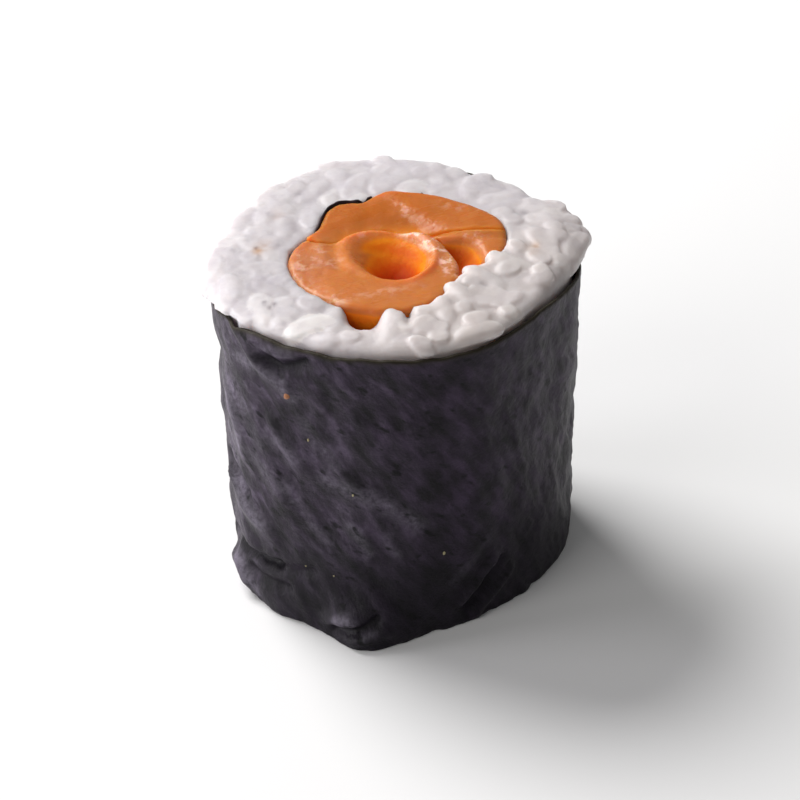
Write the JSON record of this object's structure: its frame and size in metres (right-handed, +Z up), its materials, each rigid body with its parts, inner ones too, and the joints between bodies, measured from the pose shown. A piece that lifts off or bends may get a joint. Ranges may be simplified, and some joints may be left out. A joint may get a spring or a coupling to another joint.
{
  "type": "salmon maki roll piece",
  "caption": "Maki sushi piece standing on a cut face: nori wrap, thick ring of sushi rice and a rolled raw salmon filling.",
  "frame": {"origin": "on the table, under the middle of the piece's box", "axes": "+Z up along the roll's axis, +X to the right and +Y away from someone who faces the side shown in front"},
  "size_m": [0.0356, 0.0366, 0.0334],
  "materials": {
    "nori": "dark purple-black seaweed sheet with a soft satin sheen, fine streaks and pits",
    "rice": "moist cooked short-grain rice, white with a slight lavender cast, softly translucent",
    "nori_inner": "thin damp seaweed strip, nearly black",
    "salmon": "raw salmon, orange, moist and glossy, softly translucent"
  },
  "bodies": {
    "root": {"nori_wrap": "nori", "rice": "rice", "nori_inner_strip": "nori_inner", "salmon_curl": "salmon", "salmon_crescent": "salmon", "salmon_wedge": "salmon"}
  },
  "joints": []
}
